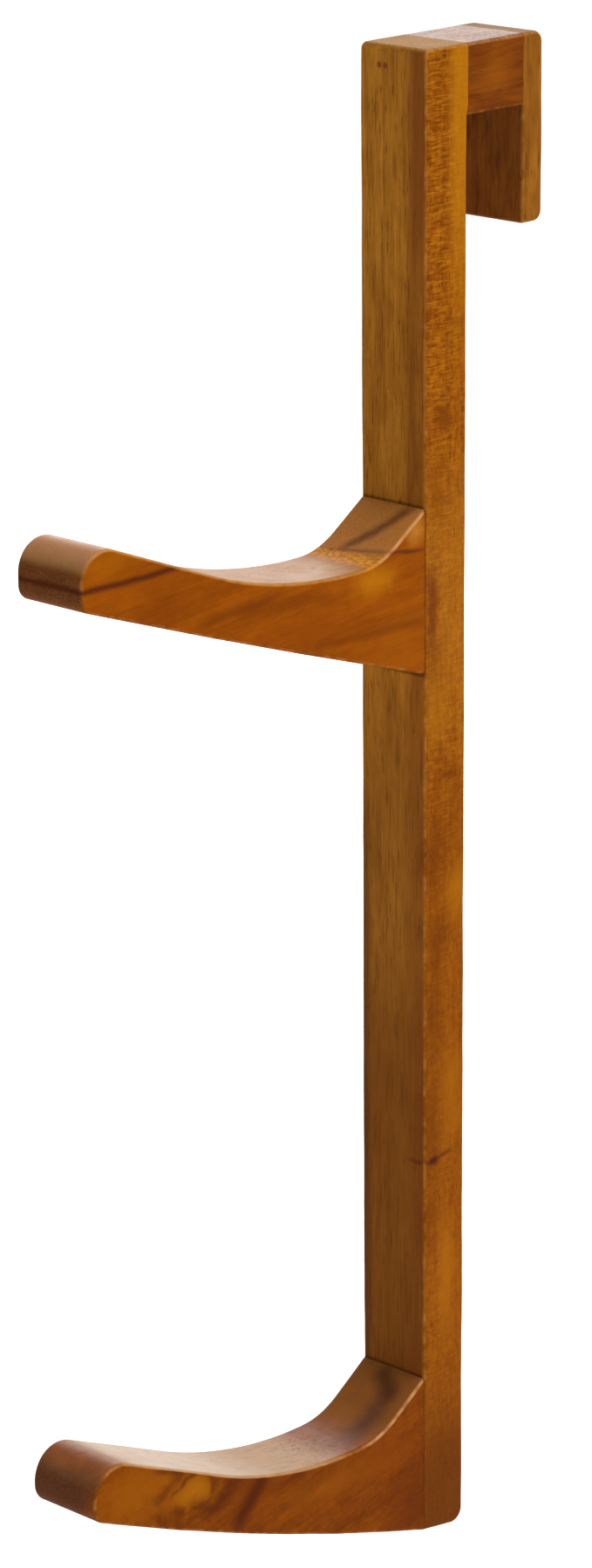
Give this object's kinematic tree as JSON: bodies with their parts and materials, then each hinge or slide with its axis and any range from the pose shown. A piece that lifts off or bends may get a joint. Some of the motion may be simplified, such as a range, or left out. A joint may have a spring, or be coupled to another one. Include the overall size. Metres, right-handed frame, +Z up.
{
  "type": "over-door instrument hanger",
  "caption": "Wooden upright that hooks over a door's top edge, with scooped pegs reaching forward one above the other to carry a guitar.",
  "frame": {"origin": "middle of the bridge block's flat underside, which sits on the door's top edge", "axes": "+Z up along the post, -Y forward along the pegs, X across the width"},
  "size_m": [0.038, 0.2876, 0.6865],
  "materials": {
    "post_wood": "oiled, satin",
    "bridge_wood": "oiled, satin",
    "lip_wood": "oiled, satin",
    "upper_arm_wood": "oiled, satin",
    "lower_arm_wood": "oiled, satin",
    "zinc_plated_steel": "zinc plated",
    "plug_wood": "oiled, satin"
  },
  "bodies": {
    "root": {"post": "post_wood", "bridge_block": "bridge_wood", "rear_lip": "lip_wood", "upper_arm": "upper_arm_wood", "lower_arm": "lower_arm_wood", "upper_arm_top_screw": "zinc_plated_steel", "upper_arm_bottom_screw": "zinc_plated_steel", "lower_arm_top_screw": "zinc_plated_steel", "lower_arm_bottom_screw": "zinc_plated_steel", "hook_bottom_screw": "zinc_plated_steel", "hook_top_screw": "zinc_plated_steel", "upper_arm_top_plug": "plug_wood", "upper_arm_bottom_plug": "plug_wood", "lower_arm_top_plug": "plug_wood", "lower_arm_bottom_plug": "plug_wood", "hook_bottom_plug": "plug_wood", "hook_top_plug": "plug_wood"}
  },
  "joints": []
}
